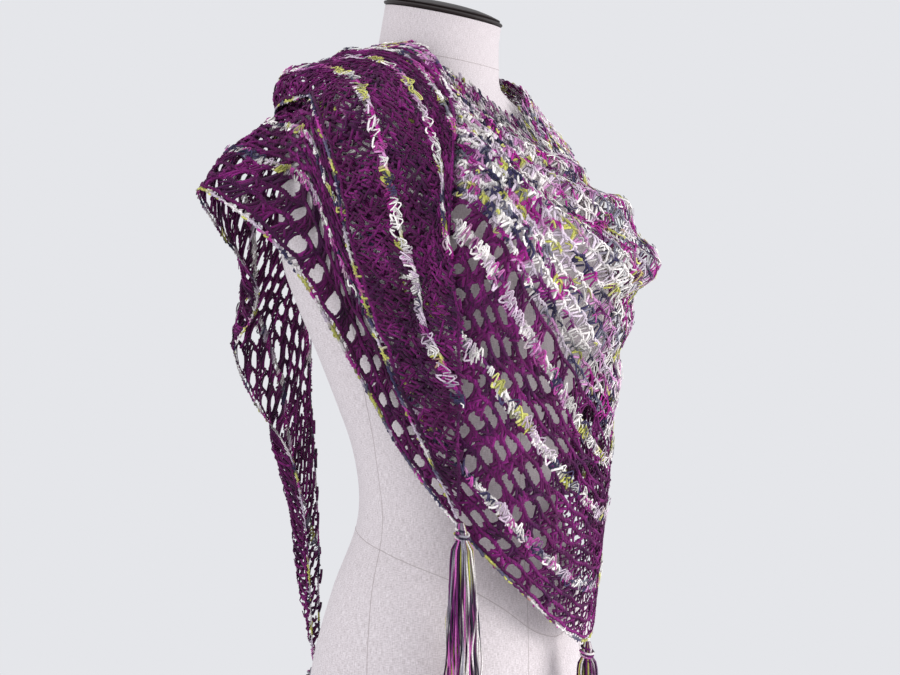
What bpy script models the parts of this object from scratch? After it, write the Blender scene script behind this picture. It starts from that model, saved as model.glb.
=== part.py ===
"""A crocheted lace shawl worn on a limbless dress form.

The shawl is one flat triangle, worked in rows parallel to its two hem legs. SECTIONS lays it on the form: each row
of the table is one straight line across the flat triangle, from the hem up to the top edge, where it lies when worn.
Tables are in millimetres, the front of the form faces -Y, the wearer's left is +X and the base stands at z = 0.
"""

import math

import bpy
import numpy as np
from mathutils.bvhtree import BVHTree

for old in list(bpy.data.objects):
    bpy.data.objects.remove(old, do_unlink=True)

MM = 0.001

# The flat shawl.
HALF_SPAN = 1190.0
DEPTH = 640.0
LEG_ANGLE = math.atan2(DEPTH, HALF_SPAN)
HOLE_PITCH = 32.0
BAND_ROWS = (7.0, 24.0, 41.0, 58.0)
HOLE_LONG = 17.0
HOLE_WIDE = 10.5
HEXAGON_REACH = 1.12
TIP_CUT = 4.0
CLOTH_THICK = 1.6
SEAM_GAP = 0.5
FORM_GAP = 3.4
LAYER_GAP = 6.5
CHORD_GAP = 1.6
LAYER_CHORD_GAP = 4.8

# Level sections of the dress form: height, half width, front, back, and how square the oval is.
FORM_SECTIONS = [
    (0, 156, -108, 128, 2.2),
    (60, 163, -111, 134, 2.2),
    (130, 167, -112, 133, 2.2),
    (195, 163, -112, 124, 2.2),
    (260, 147, -106, 107, 2.2),
    (330, 118, -93, 90, 2.1),
    (395, 125, -97, 92, 2.2),
    (443, 138, -103, 104, 2.4),
    (491, 150, -110, 120, 2.6),
    (530, 160, -114, 133, 2.8),
    (568, 170, -113, 142, 3.0),
    (630, 176, -98, 143, 3.0),
    (680, 177, -76, 136, 2.8),
    (705, 170, -60, 127, 2.6),
    (725, 148, -51, 118, 2.5),
    (745, 118, -44, 109, 2.4),
    (762, 88, -40, 101, 2.2),
    (780, 66, -34, 95, 2.0),
    (800, 60, -34, 88, 2.0),
    (850, 55, -42, 74, 2.0),
]
BUST = {"out": 70.0, "high": 520.0, "rise": 20.0, "wide": 48.0, "tall": 55.0}
NECK_TOP = 822.0
NECK_SLOPE = 0.19
NECK_MID_Y = 18.0
FORM_SIDES = 28
FORM_LEVELS = [0, 60, 130, 195, 260, 330, 395, 443, 491, 530, 568, 610, 650, 690, 712, 730, 745, 760,
               778, 800]

# Where each line across the flat shawl lies when worn. along: its distance from the spine in the flat, minus to the
# wearer's right. hem, low, middle, high and edge are its points at HEIGHTS of its length; None is on the straight line
# between its neighbours.
HEIGHTS = (0.0, 0.22, 0.45, 0.65, 1.0)
SECTIONS = [
    # along, hem, low, middle, high, edge
    (-1190, (-50, 147, 160), None, None, None, (-42, 147, 160)),
    (-1082, (-62, 142, 250), (-60, 160, 246), None, None, (-34, 152, 252)),
    (-996, (-67, 146, 327), (-63, 172, 330), None, None, (-25, 162, 345)),
    (-919, (-69, 168, 392), (-76, 184, 400), None, None, (-15, 180, 455)),
    (-858, (-96, 192, 439), None, None, None, (0, 188, 530)),
    (-798, (-116, 196, 492), (-108, 208, 500), None, None, (12, 184, 600)),
    (-755, (-117, 172, 520), (-103, 204, 530), None, None, (15, 172, 655)),
    (-716, (-103, 174, 548), (-112, 192, 570), None, (-40, 172, 660), (15, 150, 700)),
    (-666, (-136, 168, 577), (-138, 180, 612), None, (-62, 156, 700), (5, 125, 742)),
    (-602, (-188, 152, 603), (-172, 160, 650), None, (-98, 134, 716), (-20, 98, 772)),
    (-520, (-247, 122, 637), (-200, 126, 676), None, (-138, 112, 722), (-48, 72, 780)),
    (-445, (-212, 66, 588), None, None, None, (-66, 45, 784)),
    (-334, (-170, 10, 480), None, None, None, (-76, 8, 778)),
    (-220, (-138, -46, 373), None, (-160, -88, 520), (-150, -122, 622), (-68, -24, 759)),
    (-110, (-104, -124, 279), None, (-102, -150, 502), (-108, -172, 598), (-34, -42, 732)),
    (0, (0, -142, 212), None, (0, -180, 500), (0, -212, 584), (0, -48, 718)),
    (110, (90, -96, 284), None, (96, -108, 502), (88, -114, 594), (30, -42, 730)),
    (214, (134, -42, 368), None, (156, -52, 520), (144, -74, 618), (66, -20, 754)),
    (321, (174, 0, 470), None, None, None, (74, 8, 774)),
    (414, (192, 60, 560), None, None, None, (68, 45, 784)),
    (490, (166, 134, 612), None, None, None, (44, 76, 782)),
    (565, (90, 168, 642), None, None, None, (2, 98, 785)),
    (644, (0, 174, 668), None, None, None, (-42, 90, 788)),
    (713, (-98, 148, 700), (-100, 146, 730), (-84, 124, 762), None, (-72, 58, 788)),
    (785, (-144, 107, 727), (-140, 116, 752), (-114, 100, 768), None, (-82, 22, 786)),
    (832, (-152, 66, 724), (-146, 62, 746), None, None, (-82, -16, 778)),
    (900, (-186, 16, 660), None, None, None, (-124, -84, 677)),
    (945, (-186, 6, 608), None, None, None, (-140, -98, 590)),
    (1005, (-184, -14, 540), None, None, None, (-142, -100, 510)),
    (1088, (-162, -42, 447), None, None, None, (-134, -94, 421)),
    (1190, (-130, -84, 340), None, None, None, (-126, -86, 335)),
]

# Folds of the cowl and rolls at the shoulders: where each crosses the spine and where it ends, as heights of the
# section, how far it runs to each side in the flat, how far it stands out and how wide it is.
FOLDS = [
    # name, middle, height, end height, reach, rise, width
    ("cowl_lip", -40, 0.60, 0.86, 330, 24, 0.042),
    ("cowl_second", -40, 0.72, 0.93, 300, 20, 0.036),
    ("cowl_third", -40, 0.83, 0.97, 280, 17, 0.034),
    ("cowl_under", -40, 0.49, 0.74, 300, 16, 0.040),
    ("cowl_low", -40, 0.39, 0.60, 260, 10, 0.045),
    ("nape_fold_low", 640, 0.40, 0.30, 210, 14, 0.10),
    ("nape_fold_high", 620, 0.75, 0.70, 240, 16, 0.09),
]

# How deep the troughs beside a fold are, as a share of its rise.
TROUGH = 0.55

# The stretches of the shawl that show: name, first and last place along the flat, and how much finer its plain rows
# are than PLAIN_ROWS.
STRETCHES = [
    ("shawl_back_tail", -1190, -700, 1),
    ("shawl_right_wing", -700, -290, 1),
    ("shawl_front", -290, 290, 2),
    ("shawl_left_shoulder", 290, 580, 1),
    ("shawl_neck_wrap", 580, 820, 1),
    ("shawl_front_tail", 820, 1190, 1),
]
PLAIN_ROWS = 10
OVER_FROM = 590.0
UNDER_TO = 40.0
NEAR_LAYER = 45.0


def smooth(knots, values, at):
    """A smooth curve through values at knots, read at the places in at."""
    knots = np.asarray(knots, float)
    values = np.asarray(values, float)
    at = np.clip(np.asarray(at, float), knots[0], knots[-1])
    slope = np.gradient(values, knots, axis=0)
    i = np.clip(np.searchsorted(knots, at, side="right") - 1, 0, len(knots) - 2)
    step = knots[i + 1] - knots[i]
    t = (at - knots[i]) / step
    if values.ndim > 1:
        t = t[..., None]
        step = step[..., None]
    rise = 3 * t**2 - 2 * t**3
    ease_out = (t**3 - 2 * t**2 + t) * slope[i] * step
    ease_in = (t**3 - t**2) * slope[i + 1] * step
    return (1 - rise) * values[i] + rise * values[i + 1] + ease_out + ease_in


def outside_form(p):
    """How far points lie outside the dress form, level with it; minus is inside."""
    rows = np.array(FORM_SECTIONS, float)
    half_wide, front, back, square = np.moveaxis(smooth(rows[:, 0], rows[:, 1:], p[..., 2]), -1, 0)
    mid = (front + back) / 2
    half_deep = (back - front) / 2
    x = p[..., 0]
    y = p[..., 1] - mid
    radius = np.hypot(x, y) + 1e-9
    ratio = (np.abs(x / half_wide) ** square + np.abs(y / half_deep) ** square) ** (1 / square)
    side = ((np.abs(x) - BUST["out"]) / BUST["wide"]) ** 2
    level = ((p[..., 2] - BUST["high"]) / BUST["tall"]) ** 2
    bust = BUST["rise"] * np.exp(-side - level) * np.clip(-y / half_deep, 0, 1)
    return radius - radius / np.maximum(ratio, 1e-6) - bust


def form_distance(p):
    """The distance of points from the dress form and the direction straight away from it."""
    slope = np.stack([outside_form(p + e) - outside_form(p - e) for e in np.eye(3)], -1) / 2
    size = np.linalg.norm(slope, axis=-1)
    return outside_form(p) / size, slope / size[..., None]


def clear_of_form(p, gap):
    for _ in range(6):
        distance, away = form_distance(p)
        p = p + away * np.maximum(gap - distance, 0)[..., None]
    return p


def even_along(curve):
    """Curves (n, k, 3) with their k points spaced evenly again."""
    out = np.empty_like(curve)
    for i, line in enumerate(curve):
        run = np.concatenate([[0], np.cumsum(np.linalg.norm(np.diff(line, axis=0), axis=1))])
        at = np.linspace(0, run[-1], len(line))
        out[i] = np.stack([np.interp(at, run, line[:, k]) for k in range(3)], -1)
    return out


def section_points():
    """The table's sections with every None filled in: places along (n,) and points (n, 5, 3)."""
    along = np.array([row[0] for row in SECTIONS], float)
    points = np.empty((len(SECTIONS), len(HEIGHTS), 3))
    for i, row in enumerate(SECTIONS):
        known = [k for k, p in enumerate(row[1:]) if p is not None]
        given = np.array([row[1 + k] for k in known], float)
        at = [HEIGHTS[k] for k in known]
        for k in range(3):
            points[i, :, k] = np.interp(HEIGHTS, at, given[:, k])
    return along, points


GRID_ALONG = np.arange(-1190.0, 1190.1, 10.0)
GRID_UP = np.linspace(0, 1, 41)


def surface_normals(p):
    """Unit normals of a grid of points (n, k, 3), pointing away from the form."""
    du = np.gradient(p, axis=0)
    dv = np.gradient(p, axis=1)
    n = np.cross(du, dv)
    return n / (np.linalg.norm(n, axis=-1)[..., None] + 1e-9)


def worn_grid():
    """The worn middle surface on GRID_ALONG by GRID_UP."""
    along, points = section_points()
    by_height = smooth(along, points.reshape(len(along), -1), GRID_ALONG).reshape(-1, len(HEIGHTS), 3)
    grid = np.moveaxis(smooth(HEIGHTS, np.moveaxis(by_height, 1, 0).reshape(len(HEIGHTS), -1), GRID_UP)
                       .reshape(len(GRID_UP), -1, 3), 0, 1)
    grid = even_along(soften(soften(clear_of_form(grid, FORM_GAP))))
    grid = clear_of_form(grid, FORM_GAP)
    normal = surface_normals(grid)
    for name, middle, height, end_height, reach, rise, width in FOLDS:
        t = np.clip(np.abs(GRID_ALONG - middle) / reach, 0, 1)
        at = height + (end_height - height) * t**1.3
        fade = (1 - t**2) ** 2
        off = ((GRID_UP[None] - at[:, None]) / width) ** 2
        ridge = np.exp(-off) - TROUGH * np.exp(-off / 4)
        grid = grid + normal * (rise * fade[:, None] * ridge)[..., None]
    grid = clear_of_form(grid, FORM_GAP)
    return settle_over(grid)


def soften(field):
    """A field on the grid, each value drawn half way to its four neighbours."""
    padded = np.pad(field, ((1, 1), (1, 1), (0, 0)), mode="edge")
    around = (padded[:-2, 1:-1] + padded[2:, 1:-1] + padded[1:-1, :-2] + padded[1:-1, 2:]) / 4
    return (field + around) / 2


def grid_tree(grid):
    """A grid of points as a surface to measure from."""
    rows, ups = grid.shape[:2]
    quads = []
    for i in range(rows - 1):
        for k in range(ups - 1):
            corner = i * ups + k
            quads.append((corner, corner + ups, corner + ups + 1, corner + 1))
    return BVHTree.FromPolygons(grid.reshape(-1, 3).tolist(), quads)


def lift_off(tree, points, gap):
    """How far, and which way, points must move to stand a gap clear of the lower layer."""
    lift = np.zeros_like(points)
    for i, p in enumerate(points):
        place, normal, _, far = tree.find_nearest(p.tolist(), NEAR_LAYER)
        if place is None:
            continue
        normal = np.array(normal)
        height = (p - np.array(place)) @ normal
        beside_it = abs(height) < far * 0.8
        side = 1 if height >= 0 or beside_it else -1
        lift[i] = normal * max(gap - side * far, 0)
    return lift


def settle_over(grid):
    """Lifts the left wing, where it crosses over the right one, clear of it."""
    tree = grid_tree(grid[GRID_ALONG < UNDER_TO])
    over = GRID_ALONG > OVER_FROM
    top = grid[over]
    for turn in range(14):
        lift = lift_off(tree, top.reshape(-1, 3), LAYER_GAP).reshape(top.shape)
        if turn < 11:
            lift = soften(soften(lift))
        top = top + lift
    grid = grid.copy()
    grid[over] = top
    return clear_of_form(grid, FORM_GAP)


WORN = worn_grid()


def worn_at(along, up):
    """The worn middle surface at places along the flat and heights of the section."""
    i = (np.asarray(along, float) - GRID_ALONG[0]) / (GRID_ALONG[1] - GRID_ALONG[0])
    k = np.asarray(up, float) * (len(GRID_UP) - 1)
    i0 = np.clip(i.astype(int), 0, len(GRID_ALONG) - 2)
    k0 = np.clip(k.astype(int), 0, len(GRID_UP) - 2)
    fi = (i - i0)[..., None]
    fk = (k - k0)[..., None]
    low = WORN[i0, k0] * (1 - fi) + WORN[i0 + 1, k0] * fi
    high = WORN[i0, k0 + 1] * (1 - fi) + WORN[i0 + 1, k0 + 1] * fi
    return low * (1 - fk) + high * fk


def across_at(along, up):
    """Unit directions along the flat, square to the lines across it, on the worn surface."""
    step = 3.0
    ahead = worn_at(along + step, up) - worn_at(along - step, up)
    rise = worn_at(along, up + 0.02) - worn_at(along, up - 0.02)
    rise /= np.linalg.norm(rise, axis=-1)[:, None]
    ahead -= rise * (ahead * rise).sum(-1)[:, None]
    return ahead / np.linalg.norm(ahead, axis=-1)[:, None]


# The dress form's solids.


def material(name, colour, roughness, metallic=0.0):
    made = bpy.data.materials.new(name)
    made.use_nodes = True
    shader = made.node_tree.nodes["Principled BSDF"]
    shader.inputs["Base Color"].default_value = (*colour, 1)
    shader.inputs["Roughness"].default_value = roughness
    shader.inputs["Metallic"].default_value = metallic
    return made


LINEN = material("linen", (0.62, 0.58, 0.56), 0.85)
CAP_PAINT = material("cap_paint", (0.03, 0.022, 0.02), 0.45)
YARN = material("yarn", (0.10, 0.012, 0.09), 0.8)
YARN_MIXED = material("yarn_mixed", (0.45, 0.33, 0.42), 0.8)


def solid(name, points, faces, finish, smooth_angle=40):
    """A named object from points in millimetres and faces that point out."""
    mesh = bpy.data.meshes.new(name)
    mesh.from_pydata([tuple(p) for p in np.asarray(points) * MM], [], faces)
    mesh.validate()
    mesh.shade_smooth()
    mesh.set_sharp_from_angle(angle=math.radians(smooth_angle))
    mesh.materials.append(finish)
    made = bpy.data.objects.new(name, mesh)
    bpy.context.scene.collection.objects.link(made)
    return made


def form_ring(z, sides, out=0.0, z_tilt=0.0):
    """A level section of the form, moved out; z_tilt slopes it down to the front."""
    ring = []
    for k in range(sides):
        turn = 2 * math.pi * k / sides
        near, far = 0.0, 400.0
        ray = np.array([math.cos(turn), math.sin(turn), 0.0])
        rows = np.array(FORM_SECTIONS, float)
        _, front, back, _ = smooth(rows[:, 0], rows[:, 1:], np.array(float(z)))
        start = np.array([0.0, (front + back) / 2, z])
        for _ in range(30):
            mid = (near + far) / 2
            if outside_form(start + ray * mid) < out:
                near = mid
            else:
                far = mid
        p = start + ray * near
        p[2] += z_tilt * (p[1] - NECK_MID_Y)
        ring.append(p)
    return ring


def tube_of_rings(rings):
    """Points and faces of a closed body through rings, with flat ends."""
    sides = len(rings[0])
    points = [p for ring in rings for p in ring]
    faces = [tuple(range(sides))[::-1]]
    for i in range(len(rings) - 1):
        for k in range(sides):
            a = i * sides + k
            b = i * sides + (k + 1) % sides
            faces.append((a, b, b + sides, a + sides))
    last = (len(rings) - 1) * sides
    faces.append(tuple(range(last, last + sides)))
    return points, faces


def dress_form():
    rings = [form_ring(z, FORM_SIDES) for z in FORM_LEVELS]
    rings.append(form_ring(NECK_TOP, FORM_SIDES, z_tilt=NECK_SLOPE))
    return solid("dress_form", *tube_of_rings(rings), LINEN)


# The neck cap's turned profile: how far out from the neck's top edge, and how far above it.
CAP_PROFILE = [(3.0, 0.3), (6.0, 2.5), (5.0, 6.0), (1.0, 8.0), (-4.0, 12.0), (-16.0, 16.0), (-34.0, 18.5)]


def neck_cap():
    rings = []
    for out, up in CAP_PROFILE:
        ring = form_ring(NECK_TOP, FORM_SIDES, out=out, z_tilt=NECK_SLOPE)
        rings.append([p + np.array([0, 0, up]) for p in ring])
    return solid("neck_cap", *tube_of_rings(rings), CAP_PAINT)


# The shawl's walls.


def wall(points, normals, faces):
    """A closed wall CLOTH_THICK thick from a middle surface: faces are triangles that point away from the form."""
    n = len(points)
    outer = points + normals * CLOTH_THICK / 2
    inner = points - normals * CLOTH_THICK / 2
    made = [tuple(f) for f in faces]
    made += [tuple(n + v for v in reversed(f)) for f in faces]
    edges = set()
    for f in faces:
        edges.update(zip(f, (*f[1:], f[0])))
    for a, b in sorted(edges):
        if (b, a) in edges:
            continue
        if points[a][2] > points[b][2]:
            made += [(b, a, n + a), (b, n + a, n + b)]
        else:
            made += [(b, a, n + b), (a, n + a, n + b)]
    return np.concatenate([outer, inner]), made


def hem_height(along):
    """The depth of the flat triangle at places along it."""
    return DEPTH * (1 - np.abs(along) / HALF_SPAN)


def band_heights(along):
    """The heights of the hem band's row lines, level with the spine, squeezed where the triangle is narrow."""
    depth = hem_height(along)
    rows = np.array(BAND_ROWS) / math.cos(LEG_ANGLE)
    return rows * min(1.0, 0.8 * depth / rows[-1])


# Where on a triangle the net is measured, as shares of its corners.
CHORD_PLACES = [(1, 0, 0), (0, 1, 0), (0, 0, 1), (0.5, 0.5, 0), (0, 0.5, 0.5), (0.5, 0, 0.5), (0.34, 0.33, 0.33),
                (0.66, 0.17, 0.17), (0.17, 0.66, 0.17), (0.17, 0.17, 0.66)]


class Net:
    """The middle surface of the whole cloth, whose stretches meet in shared points at their seams."""

    def __init__(self):
        self.index = {}
        self.flat = []
        self.faces = {}
        self.between = []
        self.seams = {}

    def vertex(self, key, along, drop):
        """A point of the flat, drop above the hem."""
        if key not in self.index:
            self.index[key] = len(self.flat)
            self.flat.append((along, drop / max(hem_height(along), 1e-6)))
        return self.index[key]

    def lay(self):
        """Lays the net on the form: points that no face's chord brings too near the form or the layer below."""
        places = np.array(self.flat)
        faces = np.concatenate([np.array(f) for f in self.faces.values()])
        points = worn_at(places[:, 0], places[:, 1])
        over = places[faces][:, :, 0].min(1) > OVER_FROM
        under = faces[places[faces][:, :, 0].max(1) < UNDER_TO].tolist()
        for _ in range(8):
            move = np.zeros_like(points)
            tree = BVHTree.FromPolygons(points.tolist(), under)
            for weights in CHORD_PLACES:
                sample = np.einsum("k,fkx->fx", weights, points[faces])
                distance, away = form_distance(sample)
                need = away * np.maximum(CHORD_GAP - distance, 0)[:, None]
                need[over] += lift_off(tree, sample[over], LAYER_CHORD_GAP)
                for corner in range(3):
                    bigger = np.linalg.norm(need, axis=1) > np.linalg.norm(move[faces[:, corner]], axis=1)
                    move[faces[bigger, corner]] = need[bigger]
            points = points + move
            for vertex, corners, weights in self.between:
                points[vertex] = weights @ points[corners]
        corners = points[faces]
        square = np.cross(corners[:, 1] - corners[:, 0], corners[:, 2] - corners[:, 0])
        normals = np.zeros_like(points)
        for corner in range(3):
            np.add.at(normals, faces[:, corner], square)
        normals /= np.linalg.norm(normals, axis=1)[:, None]
        for vertex, corners, weights in self.between:
            normals[vertex] = weights @ normals[corners]
        self.points, self.normals = points, normals

    def piece(self, name):
        """One stretch's own points, normals and faces, drawn back from its seams."""
        faces = np.array(self.faces[name])
        used, local = np.unique(faces, return_inverse=True)
        points = self.points[used].copy()
        places = np.array(self.flat)[used]
        across = across_at(places[:, 0], places[:, 1])
        for i, vertex in enumerate(used):
            points[i] += across[i] * self.seams.get((name, vertex), 0) * SEAM_GAP / 2
        return points, self.normals[used], local.reshape(faces.shape).tolist()


def net_stretch(net, name, first, last, finer):
    """One stretch of the shawl: a hem strip, three rows of cut holes and the plain cloth above them."""
    column = HOLE_PITCH / 2 * math.cos(LEG_ANGLE)
    upper_rows = PLAIN_ROWS * finer
    low = math.ceil(first / column)
    high = math.floor(last / column)
    low += low % 2
    high -= high % 2
    end = HALF_SPAN - TIP_CUT
    last_band = len(BAND_ROWS)

    def place(j):
        """Where column j lies along the flat, with the stretch's ends moved to its seams."""
        if j <= low:
            return max(first, -end)
        if j >= high:
            return min(last, end)
        if j in (low + 1, high - 1):
            return (place(j - 1) + place(j + 1)) / 2
        return j * column

    def line_vertex(j, k):
        """The point where column j crosses row line k; neighbouring stretches share those at a seam."""
        along = place(j)
        rows = (0.0, *band_heights(along))
        key = (round(along), k * 2 if k <= last_band else last_band * 2 + (k - last_band) * 2 // finer)
        drop = rows[min(k, last_band)]
        if k > last_band:
            drop += (hem_height(along) - drop) * (k - last_band) / upper_rows
        made = net.vertex(key, along, drop)
        if j <= low or j >= high:
            net.seams[(name, made)] = 1 if j <= low else -1
        return made

    faces = net.faces.setdefault(name, [])

    def fan(loop):
        """Triangles across a loop of corners, cut evenly from both ends."""
        left, right = 0, len(loop) - 1
        turn = True
        while right - left > 1:
            if turn:
                faces.append((loop[left], loop[left + 1], loop[right]))
                left += 1
            else:
                faces.append((loop[left], loop[right - 1], loop[right]))
                right -= 1
            turn = not turn

    def holed(j, k):
        """A brick two columns wide between row lines k and k + 1, with a hole cut through it."""
        loop = [line_vertex(j, k), line_vertex(j + 1, k), line_vertex(j + 2, k),
                line_vertex(j + 2, k + 1), line_vertex(j + 1, k + 1), line_vertex(j, k + 1)]
        corners = np.array([net.flat[v] for v in loop])
        rise = corners[:, 1] * hem_height(corners[:, 0])
        ring = []
        for angle in (-150, -90, -30, 30, 90, 150):
            side = HOLE_LONG / HOLE_PITCH * HEXAGON_REACH * math.cos(math.radians(angle))
            above = HOLE_WIDE / (BAND_ROWS[1] - BAND_ROWS[0]) * HEXAGON_REACH * math.sin(math.radians(angle))
            left, right = max(-side, 0), max(side, 0)
            line = np.array([left, 1 - left - right, right])
            weights = np.concatenate([line * (1 - above) / 2, line[::-1] * (1 + above) / 2])
            made = net.vertex((name, j, k, angle), weights @ corners[:, 0], weights @ rise)
            net.between.append((made, loop, weights))
            ring.append(made)
        for step in range(6):
            a, b = loop[step], loop[(step + 1) % 6]
            c, d = ring[(step + 1) % 6], ring[step]
            faces.extend([(a, b, c), (a, c, d)])

    for k in range(last_band):
        for j in range(low - k % 2, high, 2):
            if j < low:
                fan([line_vertex(low, k), line_vertex(low + 1, k), line_vertex(low + 1, k + 1), line_vertex(low, k + 1)])
            elif j + 2 > high:
                fan([line_vertex(j, k), line_vertex(high, k), line_vertex(high, k + 1), line_vertex(j, k + 1)])
            elif k > 0 and hem_height(abs(place(j)) + 2 * column) > BAND_ROWS[-1]:
                holed(j, k)
            else:
                fan([line_vertex(j, k), line_vertex(j + 1, k), line_vertex(j + 2, k),
                     line_vertex(j + 2, k + 1), line_vertex(j + 1, k + 1), line_vertex(j, k + 1)])
    for k in range(last_band, last_band + upper_rows):
        for j in range(low, high, 2):
            loop = [line_vertex(j, k), line_vertex(j + 2, k), line_vertex(j + 2, k + 1), line_vertex(j, k + 1)]
            if k == last_band:
                loop.insert(1, line_vertex(j + 1, k))
            fan(loop)
    for j in (low, high):
        for k in range(last_band + 1, last_band + upper_rows):
            if (k - last_band) % finer:
                ends = [line_vertex(j, k - 1), line_vertex(j, k + 1)]
                net.between.append((line_vertex(j, k), ends, np.array([0.5, 0.5])))


def shawl():
    net = Net()
    for name, first, last, finer in STRETCHES:
        net_stretch(net, name, first, last, finer)
    net.lay()
    walls = {}
    for name, *_ in STRETCHES:
        walls[name], faces = wall(*net.piece(name))
        solid(name, walls[name], faces, YARN, 60)
    return walls


# The tassels.

TASSEL_HEAD = [(2.5, 0.0), (6.5, -3.0), (8.0, -8.0), (6.0, -12.0), (7.5, -16.0), (9.0, -22.0)]
STRAND_GRID = 5
STRAND_STEPS = 3
# Each hangs from the lowest point of its stretch.
TASSELS = [
    # name, stretch, length of the strands, how much wider they are at the end than in the head, how far they stand off
    ("tassel_front", "shawl_front_tail", 172.0, 1.9, 8.0),
    ("tassel_apex", "shawl_front", 150.0, 1.5, 0.0),
    ("tassel_back", "shawl_back_tail", 118.0, 1.5, 2.0),
]


def tassel(name, top, long, spread, off):
    """A wrapped head, leaning away from the form by off, with square strands drawn out of a grid on its underside."""
    away = form_distance(top)[1] * np.array([1, 1, 0])
    lean = off * away / np.linalg.norm(away) / TASSEL_HEAD[-1][1]
    sides = 4 * STRAND_GRID
    ring_radius = TASSEL_HEAD[-1][0]

    def rim(step):
        """A corner on the edge of the square grid, by its number round it."""
        side, along = divmod(step, STRAND_GRID)
        t = along / STRAND_GRID * 2 - 1
        return [(t, -1), (1, t), (-t, 1), (-1, -t)][side]

    def disc(u, v):
        """A place in the square grid drawn onto a disc."""
        return np.array([u * math.sqrt(1 - v * v / 2), v * math.sqrt(1 - u * u / 2)])

    points = []
    for radius, drop in TASSEL_HEAD[:-1]:
        for s in range(sides):
            p = disc(*rim(s)) * radius
            points.append(top + lean * drop + np.array([p[0], p[1], drop]))
    faces = [tuple(range(sides))]
    for i in range(len(TASSEL_HEAD) - 2):
        for s in range(sides):
            a, b = i * sides + s, i * sides + (s + 1) % sides
            faces.append((b, a, a + sides, b + sides))
    base = len(points)
    top = top + lean * TASSEL_HEAD[-1][1]
    for v in range(STRAND_GRID + 1):
        for u in range(STRAND_GRID + 1):
            p = disc(u / STRAND_GRID * 2 - 1, v / STRAND_GRID * 2 - 1) * ring_radius
            points.append(top + np.array([p[0], p[1], TASSEL_HEAD[-1][1]]))

    def grid(u, v):
        return base + v * (STRAND_GRID + 1) + u

    def rim_vertex(step):
        side, along = divmod(step % sides, STRAND_GRID)
        return [grid(along, 0), grid(STRAND_GRID, along), grid(STRAND_GRID - along, STRAND_GRID),
                grid(0, STRAND_GRID - along)][side]

    last = (len(TASSEL_HEAD) - 2) * sides
    for s in range(sides):
        faces.append((last + (s + 1) % sides, last + s, rim_vertex(s), rim_vertex(s + 1)))
    for v in range(STRAND_GRID):
        for u in range(STRAND_GRID):
            cell = [grid(u, v), grid(u + 1, v), grid(u + 1, v + 1), grid(u, v + 1)]
            corners = np.array([points[c] for c in cell])
            middle = corners.mean(0)
            ring = list(cell)
            wave = 0.5 * math.sin(3.1 * u + 1.7 * v)
            for step in range(STRAND_STEPS + 1):
                share = step / STRAND_STEPS
                reach = long * share * (1 - 0.03 * ((u * 2 + v * 3) % 4))
                wider = (middle - top)[:2] * (1 + (spread - 1) * share**0.8)
                sway = wave * math.sin(share * 4 + u + v) * 0.5
                centre = np.array([top[0] + wider[0] + sway, top[1] + wider[1] - sway, middle[2] - reach])
                size = 0.62 if step == 0 else 0.55
                new = []
                for c in corners:
                    points.append(centre + (c - middle) * size)
                    new.append(len(points) - 1)
                for i in range(4):
                    a, b = ring[i], ring[(i + 1) % 4]
                    faces.append((b, a, new[i], new[(i + 1) % 4]))
                ring = new
            faces.append(tuple(reversed(ring)))
    return solid(name, points, faces, YARN_MIXED, 30)


def build():
    dress_form()
    neck_cap()
    walls = shawl()
    for name, above, long, spread, off in TASSELS:
        lowest = walls[above][walls[above][:, 2].argmin()]
        tassel(name, lowest - np.array([0, 0, SEAM_GAP]), long, spread, off)


build()
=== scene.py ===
"""The crocheted lace shawl on its dress form, as photographed.

The shawl is worked again here in yarn: every chain and stitch is a thin tube laid on the worn surface that
the solids use. Tables are in millimetres, the front of the form faces -Y, the wearer's left is +X and the base
stands at z = 0.
"""

import math

import bpy
import numpy as np
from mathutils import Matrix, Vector
from mathutils.bvhtree import BVHTree


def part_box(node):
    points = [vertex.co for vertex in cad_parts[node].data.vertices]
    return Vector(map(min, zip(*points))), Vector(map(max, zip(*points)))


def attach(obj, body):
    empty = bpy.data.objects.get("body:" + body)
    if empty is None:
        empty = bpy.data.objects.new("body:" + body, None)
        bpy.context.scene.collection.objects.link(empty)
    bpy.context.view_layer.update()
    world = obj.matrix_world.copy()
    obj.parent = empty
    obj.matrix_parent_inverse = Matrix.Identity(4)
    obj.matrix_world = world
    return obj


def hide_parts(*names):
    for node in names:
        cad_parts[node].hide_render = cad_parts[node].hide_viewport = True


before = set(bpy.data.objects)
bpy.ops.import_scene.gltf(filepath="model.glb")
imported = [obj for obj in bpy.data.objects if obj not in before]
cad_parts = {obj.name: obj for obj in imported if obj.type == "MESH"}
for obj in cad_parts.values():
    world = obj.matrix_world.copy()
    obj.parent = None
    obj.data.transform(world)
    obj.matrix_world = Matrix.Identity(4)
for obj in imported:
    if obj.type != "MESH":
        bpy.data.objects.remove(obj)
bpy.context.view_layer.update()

MM = 0.001
RNG = np.random.default_rng(11)

# The flat shawl, and how far its middle surface stays off the form and off a layer under it.
HALF_SPAN = 1190.0
DEPTH = 640.0
LEG_ANGLE = math.atan2(DEPTH, HALF_SPAN)
LEG = math.hypot(DEPTH, HALF_SPAN)
SIN, COS, TAN = math.sin(LEG_ANGLE), math.cos(LEG_ANGLE), math.tan(LEG_ANGLE)
FORM_GAP = 3.4
LAYER_GAP = 6.5

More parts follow.
